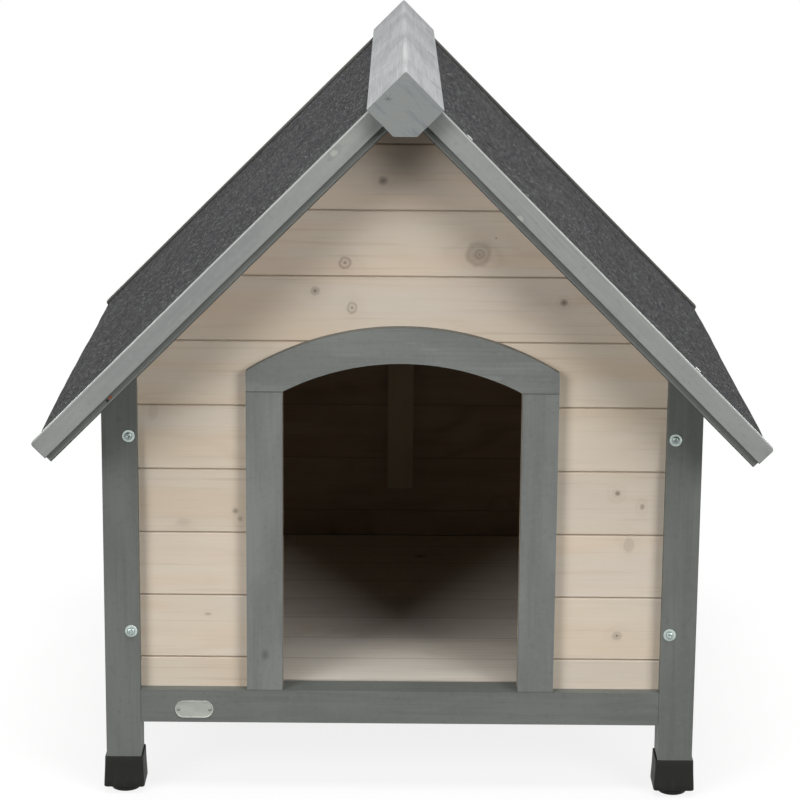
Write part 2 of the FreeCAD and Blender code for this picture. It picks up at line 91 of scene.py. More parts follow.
# Directions along the grain, across the face, and into the board.
X = Vector((1, 0, 0))
Y = Vector((0, 1, 0))
Z = Vector((0, 0, 1))
UP_RIGHT = (Z + X) * HALF_SQUARE
UP_LEFT = (Z - X) * HALF_SQUARE
GRAIN_X = (X, Z, Y)
GRAIN_X_FLAT = (X, Y, Z)
GRAIN_Y = (Y, Z, X)
GRAIN_Z = (Z, X, Y)
GRAIN_LEFT_SLOPE = (UP_RIGHT, UP_LEFT, Y)
GRAIN_RIGHT_SLOPE = (-UP_LEFT, UP_RIGHT, Y)
GRAIN_PLANK_LEFT = (Y, -UP_RIGHT, UP_LEFT)
GRAIN_PLANK_RIGHT = (Y, -UP_LEFT, UP_RIGHT)

# ------------------------- colours (sRGB, 0 to 255)
WHITEWASH = (212, 200, 183)
WHITEWASH_PINK = (213, 194, 174)
WHITEWASH_STRAW = (206, 190, 167)
WHITEWASH_GREY = (205, 195, 183)
FLOOR_PALE = (222, 217, 208)
BOARD_GRAIN = (176, 152, 127)
BOARD_KNOT = (104, 92, 82)
BOARD_RING = (134, 118, 103)
BOARD_SEAM_SHADE = (96, 77, 62)
PINE = (150, 130, 106)
PINE_WARM = (136, 114, 90)
PINE_GRAIN = (104, 84, 62)
PINE_KNOT = (70, 54, 40)
BATTEN_PALE = (176, 166, 142)

Glaze = namedtuple("Glaze", "base light dark")
POST = Glaze((101, 104, 100), (110, 113, 109), (86, 89, 86))
DOOR = Glaze((111, 114, 111), (124, 127, 124), (93, 96, 94))
BARGE = Glaze((127, 130, 128), (139, 141, 137), (111, 115, 114))
REAR = Glaze((84, 83, 80), (98, 97, 93), (60, 58, 55))
# Lighter than the post glaze of the rear rafters: painted light on the front rafters, which the barges shade.
STRIP_LIT = Glaze((118, 121, 117), (128, 131, 127), (101, 104, 101))
BEAM = Glaze((115, 117, 118), (133, 134, 135), (92, 94, 95))
GREY_KNOT = (72, 73, 70)
GREY_WORN = (140, 143, 138)
# Paler glaze on the barges' arrises: wear, and a painted highlight on the top arris.
BARGE_WEAR_AND_HIGHLIGHT = (196, 198, 195)
BEAM_WORN = (176, 176, 174)
BEAM_END = (124, 128, 128)
BEAM_STAIN = (126, 128, 122)
SEAM_SHADE = (34, 33, 31)
CHIP_BROWN = (150, 84, 48)
CHIP_BLACK = (24, 21, 18)
KNOT_PALE = (172, 172, 162)

FELT_BLACK = (11, 11, 13)
FELT_GREY = (49, 49, 51)
FELT_PALE = (80, 80, 81)
FELT_SPECK = (140, 140, 138)
FOOT_BLACK = (28, 29, 25)
FOOT_PALER = (52, 53, 48)
GLIDE_BLACK = (27, 28, 25)
ZINC = (160, 171, 168)
WASHER_ZINC = (186, 196, 192)
ZINC_DULL = (112, 124, 121)
ZINC_SHADE = (70, 79, 77)
PLATE_METAL = (158, 160, 154)
PLATE_DULL = (138, 141, 135)
NAIL_METAL = (118, 121, 115)
STAPLE_STEEL = (222, 222, 218)
PURE_WHITE = (1, 1, 1, 1)  # linear


def linear(colour):
    """A colour written in sRGB from 0 to 255, as the linear colour that a shader takes."""
    shares = [part / 255 for part in colour]
    parts = [share / 12.92 if share <= 0.04045 else ((share + 0.055) / 1.055) ** 2.4 for share in shares]
    return (*parts, 1.0)


# ------------------------- node helpers
def sign(operation):
    """A sign of arithmetic between a node's value and another value or number."""
    return lambda value, other: value.net.math(operation, value, other)


class Value:
    """What a node gives out. Sums written with it add the nodes that work them out."""

    def __init__(self, net, socket):
        self.net = net
        self.socket = socket

    __add__ = sign("ADD")
    __sub__ = sign("SUBTRACT")
    __mul__ = sign("MULTIPLY")
    __truediv__ = sign("DIVIDE")

    def __rsub__(self, other):
        return self.net.math("SUBTRACT", other, self)

    def __abs__(self):
        return self.net.math("ABSOLUTE", self)


class Net:
    """Adds and joins the nodes of one material, or of the world."""

    ARRIS_TURN = (0.02, 0.25)  # turn of a rounded edge from its face, where wear starts and is full

    def __init__(self, owner):
        owner.use_nodes = True
        self.owner = owner
        self.tree = owner.node_tree
        self.tree.nodes.clear()

    def put(self, socket, value):
        """Joins a socket to another one, or gives it a constant."""
        if isinstance(value, Value):
            value = value.socket
        if isinstance(value, bpy.types.NodeSocket):
            self.tree.links.new(value, socket)
        else:
            socket.default_value = value

    def node(self, kind, inputs=(), **settings):
        """A new node with its settings, and with a value on each input given by its name or number."""
        node = self.tree.nodes.new("ShaderNode" + kind)
        for setting, value in settings.items():
            setattr(node, setting, value)
        for key, value in dict(inputs).items():
            self.put(node.inputs[key], value)
        return node

    def value(self, kind, inputs=(), output=0, **settings):
        """One output of a new node."""
        return Value(self, self.node(kind, inputs, **settings).outputs[output])

    @cached_property
    def place(self):
        """The place in the model's frame."""
        return self.value("TexCoord", output="Object")

    def math(self, operation, *values):
        return self.value("Math", enumerate(values), operation=operation)

    def vector(self, operation, *values):
        output = "Value" if operation in ("DOT_PRODUCT", "LENGTH") else "Vector"
        return self.value("VectorMath", enumerate(values), output, operation=operation)

    def combine(self, x, y, z):
        return self.value("CombineXYZ", {0: x, 1: y, 2: z})

    def split(self, vector):
        node = self.node("SeparateXYZ", {0: vector})
        return [Value(self, socket) for socket in node.outputs]

    def reach(self, dx, dy):
        """Length of a step in a plane."""
        return self.vector("LENGTH", self.combine(dx, dy, 0.0))

    def scaled(self, x, y=None, z=None):
        """The place times one number, or times one number for each direction."""
        return self.vector("MULTIPLY", self.place, Vector((x, y or x, z or x)))

    def noise(self, vector, detail=2.0, roughness=0.5, distortion=0.0):
        """Smooth noise about 0.5, one bump to each unit of the vector."""
        inputs = dict(Vector=vector, Scale=1.0, Detail=detail, Roughness=roughness, Distortion=distortion)
        return self.value("TexNoise", inputs)

    def random(self, x, y, z):
        """Three random numbers for each set of three whole numbers."""
        return self.split(self.value("TexWhiteNoise", {"Vector": self.combine(x, y, z)}, "Color"))

    def cells(self, vector):
        """Distance to the nearest cell's middle, and three random numbers for each cell."""
        node = self.node("TexVoronoi", {"Vector": vector, "Scale": 1.0})
        return Value(self, node.outputs["Distance"]), self.split(node.outputs["Color"])

    def ramp(self, value, low, high, to_low=0.0, to_high=1.0):
        """Smooth step of a value between two marks."""
        inputs = enumerate((value, low, high, to_low, to_high))
        return self.value("MapRange", inputs, interpolation_type="SMOOTHSTEP")

    def near(self, value, mark, half_width, soft):
        """1 where a value lies within half a width of a mark, fading over a soft edge."""
        return self.ramp(abs(value - mark), half_width + soft, half_width)

    def mix(self, share, first, second, blend="MIX"):
        """Mixes two colours."""
        node = self.node("Mix", {0: share}, data_type="RGBA", blend_type=blend)
        sockets = [socket for socket in node.inputs if socket.type == "RGBA"]
        for socket, colour in zip(sockets, (first, second)):
            self.put(socket, linear(colour) if isinstance(colour, tuple) else colour)
        return Value(self, [socket for socket in node.outputs if socket.type == "RGBA"][0])

    def layers(self, colour, *rows):
        """Lays tints over a colour, by rows of (tint, mask, where it starts, where it is full, share)."""
        for tint, mask, start, full, share in rows:
            colour = self.mix(self.ramp(mask, start, full, 0.0, share), colour, tint)
        return colour

    def times(self, colour, factor):
        """A colour multiplied by one number."""
        return self.mix(1.0, colour, self.combine(factor, factor, factor), "MULTIPLY")

    def arris(self, radius):
        """1 along sharp edges, 0 on flat faces, from the angle that a rounded edge would have."""
        rounded = self.value("Bevel", {"Radius": radius}, samples=4)
        flat = self.value("NewGeometry", output="Normal")
        return self.ramp(1.0 - self.vector("DOT_PRODUCT", rounded, flat), *self.ARRIS_TURN)

    def finish(self, colour, roughness, height, depth, metallic=0.0, specular=0.5):
        """The material with its shader, and with a bump of the given depth in metres."""
        bump = self.node("Bump", {"Height": height, "Distance": depth, "Strength": 1.0})
        inputs = {"Base Color": colour, "Roughness": roughness, "Metallic": metallic}
        inputs.update({"Specular IOR Level": specular, "Normal": bump.outputs[0]})
        shader = self.node("BsdfPrincipled", inputs)
        self.node("OutputMaterial", {"Surface": shader.outputs[0]})
        return self.owner

    def finish_mixed(self, share, first, second, output):
        """Mixes two shader nodes for the output."""
        mixed = self.node("MixShader", {0: share, 1: first.outputs[0], 2: second.outputs[0]})
        self.node(output, {"Surface": mixed.outputs[0]})
        return self.owner

    def seen_directly(self):
        """1 for rays from the camera, and for reflected and transmitted ones."""
        path = self.node("LightPath").outputs
        second_hand = self.math("MAXIMUM", path["Is Glossy Ray"], path["Is Transmission Ray"])
        return self.math("MAXIMUM", path["Is Camera Ray"], second_hand)


def new_net(name):
    """The nodes of a new material."""
    return Net(bpy.data.materials.new(name))


# ------------------------- wood
class Wood(Net):
    """Sawn softwood: growth rings, fibres, blotches and knots, laid along one grain direction."""

    PITH_STRAYS = 70 * MM  # along a board
    PITH_ASIDE = 50 * MM  # from board to board
    PITH_DEEPER = 45 * MM
    PITH_SLOPES = 50 * MM
    RIPPLE_TURNS = 1.6
    KNOT_TURNS = 2.2  # rings that a knot pushes aside

    def __init__(self, name, grain, seed, courses=None, knots=(), scatter=None, ring_spacing=4.6 * MM,
                 pith_depth=45 * MM):
        super().__init__(bpy.data.materials.new(name))
        self.along, self.across, self.inward = [self.vector("DOT_PRODUCT", self.place, way) for way in grain]
        self.courses = courses
        self.find_board(float(seed))
        self.ring_spacing = ring_spacing
        self.pith_depth = pith_depth
        self.halo = 0.0
        self.knots = []
        for knot in knots:
            self.knot(*knot)
        if scatter:
            self.scattered_knots(*scatter)

    def find_board(self, seed):
        """Each board's number, its random numbers, and the place across it from its middle."""
        self.board = seed
        self.middle = self.across
        if self.courses:
            start, pitch = self.courses
            counted = (self.across - start) / pitch
            number = self.math("FLOOR", counted)
            self.board = number + seed
            self.middle = (counted - number - 0.5) * pitch
        self.chance = self.random(self.board, 3.0, 7.0)

    def at_joint(self, half_width, soft):
        """1 in the joints between boards."""
        edge = self.courses[1] / 2 - abs(self.middle)
        return self.ramp(edge, half_width + soft, half_width)

    def knot(self, along, across, radius, stretch, core, ring, dot):
        """One knot on the face, its place and radius in millimetres."""
        dx = (self.along - along * MM) / stretch
        self.add_knot(dx, self.across - across * MM, radius * MM, core, ring, dot)

    def add_knot(self, dx, dy, radius, core, ring, dot):
        """Keeps the masks of a knot's core, rim and pith, and its pull on the rings round it."""
        wobble = self.noise(self.combine(dx * 120, dy * 120, radius * 9))
        reach = self.reach(dx, dy) / radius + (wobble - 0.5) * 0.6
        fill = self.ramp(reach, 1.25, 0.35) * core
        rim = self.ramp(abs(reach - 1.0), 0.42, 0.0) * ring
        pith = self.ramp(reach, 0.42, 0.1) * dot
        self.knots.append((fill, rim, pith))
        strength = min(1.0, core + ring) if isinstance(core, float) else core
        halo = self.math("EXPONENT", reach * reach * -0.16) * strength
        self.halo = self.math("MAXIMUM", self.halo, halo)

    def scattered_knots(self, spacing, share, pitch, smallest=3 * MM, largest=7 * MM, dark=0.55):
        """Knots at random places, at most one in each length of board."""
        counted = (self.along + self.chance[2] * spacing) / spacing
        number = self.math("FLOOR", counted)
        first = self.random(self.board, number, 11.0)
        second = self.random(self.board, number, 23.0)
        dx = (counted - number - (first[0] * 0.5 + 0.25)) * spacing
        dy = self.middle - (first[1] - 0.5) * (pitch * 0.7)
        size = first[2] * (largest - smallest) + smallest
        there = self.math("LESS_THAN", second[0], share)
        core = there * self.ramp(second[1], 0.0, 1.0, dark * 0.3, dark)
        self.add_knot(dx / 1.2, dy, size, core, there * 0.25, core)

    def rings(self, strength):
        """Growth rings of a board sawn from a log whose pith wanders behind its face."""
        wander = self.noise(self.combine(self.along * 1.7, self.board, 0.0), detail=1.0) - 0.5
        centre = wander * self.PITH_STRAYS + (self.chance[0] - 0.5) * self.PITH_ASIDE
        slope = self.noise(self.combine(self.along * 2.6, 5.0, self.board), detail=1.0)
        height = self.chance[1] * self.PITH_DEEPER + self.pith_depth + slope * self.PITH_SLOPES
        ripple = self.patches(7.0, 26.0)
        turns = self.reach(self.middle - centre, self.inward + height) / self.ring_spacing
        turns = turns + ripple * self.RIPPLE_TURNS + self.halo * self.KNOT_TURNS
        wave = self.math("SINE", turns * (2 * math.pi))
        line = self.math("POWER", wave * 0.5 + 0.5, 2.5)
        return line * self.ramp(self.patches(5.0, 22.0), 0.42, 0.7, 0.05 * strength, strength)

    def patches(self, along, across):
        """Noise of its own for each board, with so many bumps to a metre along it and across it."""
        return self.noise(self.combine(self.along * along, self.across * across, self.board))

    def fibres(self, length=90 * MM, width=2.2 * MM, detail=3.0):
        """Fine streaks along the grain."""
        depth = self.inward / width + self.board
        vector = self.combine(self.along / length, self.across / width, depth)
        return self.noise(vector, detail=detail, roughness=0.6)

    def blotches(self, length=220 * MM, width=45 * MM, shift=0.0):
        """Broad uneven patches of stain."""
        vector = self.combine(self.along / length, self.across / width, self.board + shift)
        return self.noise(vector, distortion=0.4)

    def with_knots(self, colour, core_colour, rim_colour):
        """Lays the knots over a colour, with a faint stain round them."""
        colour = self.mix(self.halo * 0.16, colour, rim_colour)
        for fill, rim, pith in self.knots:
            colour = self.mix(fill, colour, core_colour)
            colour = self.mix(rim, colour, rim_colour)
            colour = self.mix(pith, colour, core_colour)
        return colour

    def spot(self, colour, along, across, length, width, share, tint):
        """A soft oval mark of another colour."""
        torn = self.noise(self.scaled(420))
        dx = (self.along - along) / (length / 2)
        dy = (self.across - across) / (width / 2)
        reach = self.reach(dx, dy) + (torn - 0.5) * 1.2
        return self.mix(self.ramp(reach, 1.15, 0.6) * share, colour, tint)

    def finish_wood(self, colour, ring, fibre, rough, depth, specular):
        """The material, with raised late wood, open fibres and sunken knot rims."""
        height = ring * 0.45 + fibre * 0.6
        for _, rim, _ in self.knots:
            height = height - rim * 0.5
        return self.finish(colour, self.ramp(fibre, 0.2, 0.8, *rough), height, depth, specular=specular)


def pine_colour(wood, ring, fibre):
    """Unpainted pine."""
    colour = wood.layers(PINE, (PINE_WARM, wood.blotches(shift=4.0), 0.35, 0.7, 1.0))
    colour = wood.mix(ring * 0.5, colour, PINE_GRAIN)
    return wood.layers(colour, (PINE_GRAIN, fibre, 0.48, 0.8, 0.35))


def stained_colour(wood, ring, fibre, pale):
    """Pine under a thin white stain, pinker in the gable as a painted warm shade under the roof."""
    streak = wood.fibres(length=240 * MM, width=6 * MM)
    broad = wood.blotches(length=260 * MM, width=38 * MM)
    wide = wood.blotches(length=420 * MM, width=90 * MM, shift=9.0)
    warm = wood.mix(wood.chance[1], WHITEWASH_PINK, WHITEWASH_STRAW)
    # Painted warm shade: the gable boards under the roof are tinted pinker.
    warm = wood.layers(warm, (WHITEWASH_PINK, wood.across, 440 * MM, 560 * MM, 0.7))
    colour = wood.mix(wood.ramp(broad, 0.38, 0.66, 0.05, 0.85), WHITEWASH, warm)
    colour = wood.layers(colour, (WHITEWASH_GREY, wide, 0.42, 0.68, 0.55))
    if pale:
        colour = wood.mix(0.7, colour, pale)
    colour = wood.mix(ring * 0.2, colour, BOARD_GRAIN)
    colour = wood.layers(
        colour,
        (BOARD_GRAIN, fibre, 0.52, 0.8, 0.2),
        (BOARD_GRAIN, streak, 0.54, 0.74, 0.3),
        (WHITEWASH, streak, 0.46, 0.28, 0.25),
    )
    return wood.times(colour, wood.ramp(wood.chance[2], 0.0, 1.0, 0.95, 1.02))


def whitewashed(name, grain, seed, courses=WALL_COURSES, knots=(), scatter=None, inner=None,
                joint=(0.35 * MM, 0.9 * MM), pale=None):
    """Stained boards, bare on the inner side of a plane, given as (place, sign of the way in)."""
    wood = Wood(name, grain, seed, courses, knots, scatter)
    ring = wood.rings(0.8)
    fibre = wood.fibres(length=70 * MM, width=1.8 * MM)
    colour = stained_colour(wood, ring, fibre, pale)
    colour = wood.with_knots(colour, BOARD_KNOT, BOARD_RING)
    if inner:
        plane, sign = inner
        inside = wood.math("GREATER_THAN", wood.inward * sign, plane * sign)
        colour = wood.mix(inside, colour, pine_colour(wood, ring, fibre))
    # Painted shade in the joints between boards.
    colour = wood.mix(wood.at_joint(*joint) * 0.5, colour, BOARD_SEAM_SHADE)
    return wood.finish_wood(colour, ring, fibre, (0.52, 0.7), 0.2 * MM, 0.3)


def bare_pine(name, grain, seed, courses=None, scatter=None, tint=None):
    """Unpainted pine, for what only shows inside and underneath."""
    wood = Wood(name, grain, seed, courses, scatter=scatter)
    ring = wood.rings(0.9)
    fibre = wood.fibres()
    colour = pine_colour(wood, ring, fibre)
    if tint:
        colour = wood.mix(0.6, colour, tint)
    colour = wood.with_knots(colour, PINE_KNOT, PINE_GRAIN)
    return wood.finish_wood(colour, ring, fibre, (0.55, 0.75), 0.3 * MM, 0.25)


def glazed(name, grain, seed, glaze, knots=(), scatter=None, worn=GREY_WORN, wear=0.35, marks=None,
           specular=0.25):
    """Wood under a grey glaze that is thinner on its arrises."""
    wood = Wood(name, grain, seed, knots=knots, scatter=scatter, ring_spacing=5.0 * MM, pith_depth=70 * MM)
    ring = wood.rings(0.7)
    fibre = wood.fibres(length=80 * MM, width=1.4 * MM)
    streak = wood.fibres(length=210 * MM, width=9 * MM, detail=2.0)
    broad = wood.blotches(length=130 * MM, width=42 * MM)
    mottle = wood.noise(wood.scaled(170), detail=3.0, roughness=0.6)
    colour = wood.layers(
        glaze.base,
        (glaze.light, broad, 0.34, 0.68, 0.9),
        (glaze.dark, streak, 0.45, 0.7, 0.3),
    )
    colour = wood.mix(ring * 0.16, colour, glaze.dark)
    colour = wood.layers(
        colour,
        (glaze.dark, fibre, 0.52, 0.8, 0.32),
        (glaze.light, fibre, 0.46, 0.24, 0.22),
        (glaze.light, mottle, 0.52, 0.75, 0.4),
        (glaze.dark, mottle, 0.45, 0.25, 0.35),
    )
    colour = wood.with_knots(colour, GREY_KNOT, glaze.dark)
    patchy = wood.ramp(wood.noise(wood.scaled(60)), 0.35, 0.65, 0.15, 1.0)
    colour = wood.mix(wood.arris(1.4 * MM) * patchy * wear, colour, worn)
    if marks:
        colour = marks(wood, colour)
    return wood.finish_wood(colour, ring, fibre, (0.45, 0.62), 0.22 * MM, specular)


# ------------------------- felt, plastic and metal
CRYSTALS = (700, 700, 700)  # bumps to a metre in each direction
BRUSHED = (60, 2500, 2500)


def felt_material():
    """Mineral granules on bitumen felt."""
    net = new_net("felt_granules")
    fine, fine_random = net.cells(net.scaled(760))
    grain, grain_random = net.cells(net.scaled(430))
    clump = net.noise(net.scaled(95), detail=3.0, roughness=0.6)
    broad = net.noise(net.scaled(14), detail=3.0)
    colour = net.layers(
        FELT_BLACK,
        (FELT_GREY, fine_random[0], 0.25, 0.95, 1.0),
        (FELT_PALE, grain_random[1], 0.3, 0.9, 0.8),
        (FELT_BLACK, grain_random[2], 0.3, 0.0, 0.8),
        (FELT_BLACK, clump, 0.5, 0.72, 0.5),
        (FELT_PALE, clump, 0.45, 0.3, 0.45),
        (FELT_PALE, broad, 0.5, 0.72, 0.2),
        (FELT_SPECK, grain_random[0], 0.965, 0.985, 0.7),
    )
    return net.finish(colour, 0.95, fine * -0.5 + grain * -0.7, 0.9 * MM, specular=0.05)


def plastic_material(name, base, rough):
    """Moulded plastic with a fine spark-eroded skin, paler in patches and more so towards the bottom, with a
    painted highlight along its edges.
    """
    net = new_net(name)
    fine = net.noise(net.scaled(1500))
    scuff = net.noise(net.scaled(130, 130, 45), detail=4.0, roughness=0.65)
    low = net.ramp(net.split(net.place)[2], 30 * MM, 0.0)
    colour = net.mix(net.ramp(scuff, 0.48, 0.72) * (low * 0.4 + 0.15), base, FOOT_PALER)
    # Painted highlight: paler edges.
    colour = net.mix(net.arris(0.8 * MM) * 0.4, colour, FOOT_PALER)
    roughness = net.ramp(scuff, 0.3, 0.7, rough, rough + 0.18)
    return net.finish(colour, roughness, fine * 0.5 + scuff * 0.4, 0.1 * MM, specular=0.18)


def metal_material(name, bright, dull, skin, rough):
    """Zinc, steel or aluminium with a faint brushed or crystalline skin."""
    net = new_net(name)
    line = net.noise(net.scaled(*skin), detail=3.0)
    patch = net.noise(net.scaled(60, 150, 150))
    colour = net.layers(bright, (dull, patch, 0.3, 0.7, 0.5), (dull, line, 0.45, 0.75, 0.35))
    colour = net.mix(net.arris(0.4 * MM) * 0.4, colour, dull)
    roughness = net.ramp(line, 0.2, 0.8, rough, rough + 0.18)
    return net.finish(colour, roughness, line, 0.03 * MM, metallic=1.0)


# ------------------------- marks seen in the photograph
FRONT_KNOTS = [
    # along, across, radius (mm), stretch, core, ring, pith
    (-22.6, 683.6, 4.4, 1.0, 0.62, 0.25, 0.3),
    (-62.4, 595.4, 5.6, 1.0, 0.12, 0.55, 0.6),
    (79.9, 606.2, 11.0, 1.05, 0.3, 0.38, 0.0),
    (80.6, 605.6, 4.4, 1.0, 0.0, 0.4, 0.5),
    (-94.2, 564.8, 4.2, 1.0, 0.45, 0.3, 0.8),
    (-54.7, 546.7, 5.6, 0.8, 0.12, 0.45, 0.6),
    (171.4, 554.0, 3.6, 1.0, 0.7, 0.3, 0.5),
    (98.0, 623.3, 1.3, 1.0, 0.5, 0.0, 0.0),
    (-180.3, 320.9, 3.2, 1.0, 0.5, 0.1, 0.4),
    (-175.1, 312.0, 3.0, 0.9, 0.4, 0.1, 0.2),
    (-236.6, 308.1, 5.0, 1.6, 0.16, 0.05, 0.0),
    (-268.5, 431.0, 7.0, 0.6, 0.1, 0.14, 0.0),
    (-211.0, 203.6, 1.6, 2.2, 0.4, 0.1, 0.0),
    (234.2, 343.9, 2.6, 1.0, 0.7, 0.3, 0.4),
    (261.4, 329.0, 3.0, 0.7, 0.45, 0.3, 0.3),
    (247.9, 286.0, 7.0, 0.7, 0.22, 0.2, 0.0),
    (237.6, 181.9, 4.2, 1.1, 0.28, 0.28, 0.8),
]
JAMB_KNOTS = [(161.5, -148.1, 4.5, 1.3, 0.5, 0.2, 0.2)]
ARCH_MARKS = [
    # along, across, length, width, share
    (28.8 * MM, 504.4 * MM, 22 * MM, 3 * MM, 0.3),
    (9.6 * MM, 511.9 * MM, 16 * MM, 3 * MM, 0.25),
    (-60 * MM, 498 * MM, 40 * MM, 4 * MM, 0.2),
    (92 * MM, 474 * MM, 34 * MM, 5 * MM, 0.3),
]
BEAM_SLOTS = (-252 * MM, 43 * MM, 318 * MM)
BEAM_SCRATCHES = (-170 * MM, 120 * MM)
RIDGE_WEAR = 3.2 * MM
STAR_CRACK = Vector((-17.6 * MM, 0, 786.3 * MM))
CRACK_ANGLES = (8, 62, 121, 170)
CRACK_WIDTH = 0.75 * MM
CRACK_LENGTH = 6 * MM


def on_slope(grain, x, z):
    """Where a point of the front lies along and across the wood of one slope."""
    point = Vector((x, 0, z))
    return point.dot(grain[0]), point.dot(grain[1])


LEFT_BARGE_KNOT = on_slope(GRAIN_LEFT_SLOPE, -72.2 * MM, 727.5 * MM)
RIGHT_BARGE_KNOT = on_slope(GRAIN_RIGHT_SLOPE, 118 * MM, 661.2 * MM)
RAFTER_CHIP = on_slope(GRAIN_LEFT_SLOPE, -305.6 * MM, 467.3 * MM)


def beam_end(wood, colour):
    """A star crack and faint bands on the beam's end grain, in place of the side's streaks."""
    slant = wood.vector("DOT_PRODUCT", wood.place, UP_RIGHT)
    rise = wood.vector("DOT_PRODUCT", wood.place, UP_LEFT)
    bands = wood.noise(wood.combine(slant * 150, rise * 30, 1.0))
    calm = wood.layers(
        BEAM_END,
        (BEAM_STAIN, bands, 0.35, 0.7, 0.5),
        (BEAM.dark, bands, 0.5, 0.3, 0.35),
        (BEAM.dark, wood.noise(wood.scaled(700)), 0.55, 0.8, 0.3),
    )
    off = wood.vector("SUBTRACT", wood.place, STAR_CRACK)
    for angle in CRACK_ANGLES:
        line = Vector((math.cos(math.radians(angle)), 0, math.sin(math.radians(angle))))
        over = abs(wood.vector("DOT_PRODUCT", off, Vector((-line.z, 0, line.x))))
        run = abs(wood.vector("DOT_PRODUCT", off, line))
        crack = wood.ramp(over, CRACK_WIDTH, 0.2 * MM) * wood.ramp(run, CRACK_LENGTH, 2 * MM)
        calm = wood.mix(crack * 0.5, calm, POST.dark)
    end = wood.ramp(abs(wood.along), BEAM_END_Y - 0.4 * MM, BEAM_END_Y - 0.1 * MM)
    return wood.mix(end, colour, calm)


def slanting_lines(wood, colour, places, middle, slant, length, half_width, soft, share):
    """Short dark lines on one face of the beam, each through a y at the lines' middle x."""
    x, y, _ = wood.split(wood.place)
    over = x - middle
    within = wood.ramp(abs(over), *length)
    for place in places:
        line = wood.near(y, over * slant + place, half_width, soft) * within
        colour = wood.mix(line * share, colour, POST.dark)
    return colour


def beam_marks(wood, colour):
    """Slots low on the beam's right face, scratches on the left, a worn ridge and a clean end."""
    colour = slanting_lines(wood, colour, BEAM_SLOTS, middle=32.5 * MM, slant=1.4,
                            length=(6.5 * MM, 4.5 * MM), half_width=5.0 * MM, soft=2.5 * MM, share=0.85)
    colour = slanting_lines(wood, colour, BEAM_SCRATCHES, middle=-26 * MM, slant=-2.6,
                            length=(13 * MM, 9 * MM), half_width=1.5 * MM, soft=3.0 * MM, share=0.5)
    z = wood.split(wood.place)[2]
    worn = wood.ramp(wood.noise(wood.scaled(60, 7, 60)), 0.3, 0.65)
    ridge = wood.ramp(z, RIDGE_Z - RIDGE_WEAR, RIDGE_Z - 0.4 * MM) * worn
    colour = wood.mix(ridge * 0.3, colour, BEAM_WORN)
    return beam_end(wood, colour)


def barge_look(along, across):
    """Marks of one barge: a painted-over knot at a place, a painted highlight on the top arris, painted shade
    on the top face and a painted shadow along the lower arris.
    """
    def marks(wood, colour):
        colour = wood.spot(colour, along, across, 22 * MM, 10 * MM, 0.35, BARGE.dark)
        colour = wood.spot(colour, along, across, 9 * MM, 7 * MM, 0.5, KNOT_PALE)
        foot = BARGE_TOP - BARGE_HEIGHT
        # Painted highlight on the top arris, painted shade on the top face, painted shadow along the lower
        # arris.
        return wood.layers(
            colour,
            (BARGE_WEAR_AND_HIGHLIGHT, wood.across, BARGE_TOP - 1.5 * MM, BARGE_TOP - 0.7 * MM, 0.2),
            (POST.base, wood.across, BARGE_TOP - 0.3 * MM, BARGE_TOP - 0.1 * MM, 0.8),
            (POST.dark, wood.across, foot + 1.4 * MM, foot + 0.7 * MM, 0.3),
        )
    return marks


def strip_look(wood, colour):
    """Painted shade: dark lines along the top, under the barge, and along the bottom of the part of a rafter
    that shows below its barge.
    """
    line = wood.near(wood.across, BARGE_TOP - BARGE_HEIGHT - 0.4 * MM, 0.5 * MM, 0.5 * MM)
    foot = BARGE_TOP - RAFTER_DEPTH
    line = wood.math("MAXIMUM", line, wood.ramp(wood.across, foot + 1.3 * MM, foot + 0.7 * MM))
    return wood.mix(line * 0.75, colour, SEAM_SHADE)


def rear_barge_look(wood, colour):
    """Painted shade in the gap between a rear barge and the felt."""
    felt = BARGE_TOP - FELT_DEPTH
    inside = wood.math("LESS_THAN", wood.inward, BARGE_INNER_Y + 0.3 * MM)
    gap = wood.ramp(wood.across, felt + 1.5 * MM, felt + 1.0 * MM) * inside
    return wood.mix(gap * 0.9, colour, SEAM_SHADE)


def left_rafter_look(wood, colour):
    """The chip on the left strip, bare wood beside a dark dent."""
    colour = strip_look(wood, colour)
    along, across = RAFTER_CHIP
    colour = wood.spot(colour, along + 1.5 * MM, across, 6 * MM, 3.6 * MM, 0.9, CHIP_BROWN)
    return wood.spot(colour, along - 2.5 * MM, across - 0.5 * MM, 5 * MM, 3.6 * MM, 0.9, CHIP_BLACK)


def head_look(wood, colour):
    """Brush marks on the curved head, and painted shade in the seam on its jambs."""
    for mark in ARCH_MARKS:
        colour = wood.spot(colour, *mark, BARGE.light)
    seam = (REAR.dark, wood.across, ARCH_SPRING + 0.9 * MM, ARCH_SPRING + 0.3 * MM, 0.75)
    return wood.layers(colour, seam)


def jamb_look(wood, colour):
    """Painted shade in the seams where a jamb meets the head and the sill."""
    top = wood.ramp(wood.along, ARCH_SPRING - 1.0 * MM, ARCH_SPRING - 0.3 * MM)
    low = wood.ramp(wood.along, SILL_TOP + 1.2 * MM, SILL_TOP + 0.3 * MM)
    return wood.mix(wood.math("MAXIMUM", top, low) * 0.7, colour, REAR.dark)


def sill_look(wood, colour):
    """Painted shade in the seams where a sill meets its posts."""
    seam = (REAR.dark, abs(wood.along), POST_INNER_X - 1.2 * MM, POST_INNER_X - 0.4 * MM, 0.7)
    return wood.layers(colour, seam)


# ------------------------- materials by node
# Length of board for each random knot, the share that has one, and the board's width; then, where they
# differ from the usual, the smallest and largest radius and the darkness.
WALL_SCATTER = (0.24, 0.4, BOARD_PITCH)
FLOOR_SCATTER = (0.3, 0.35, FLOOR_BOARD_PITCH)
PLANK_SCATTER = (0.3, 0.5, PLANK_PITCH)
POST_SCATTER = (0.3, 0.35, 30 * MM, 2.5 * MM, 5 * MM, 0.3)

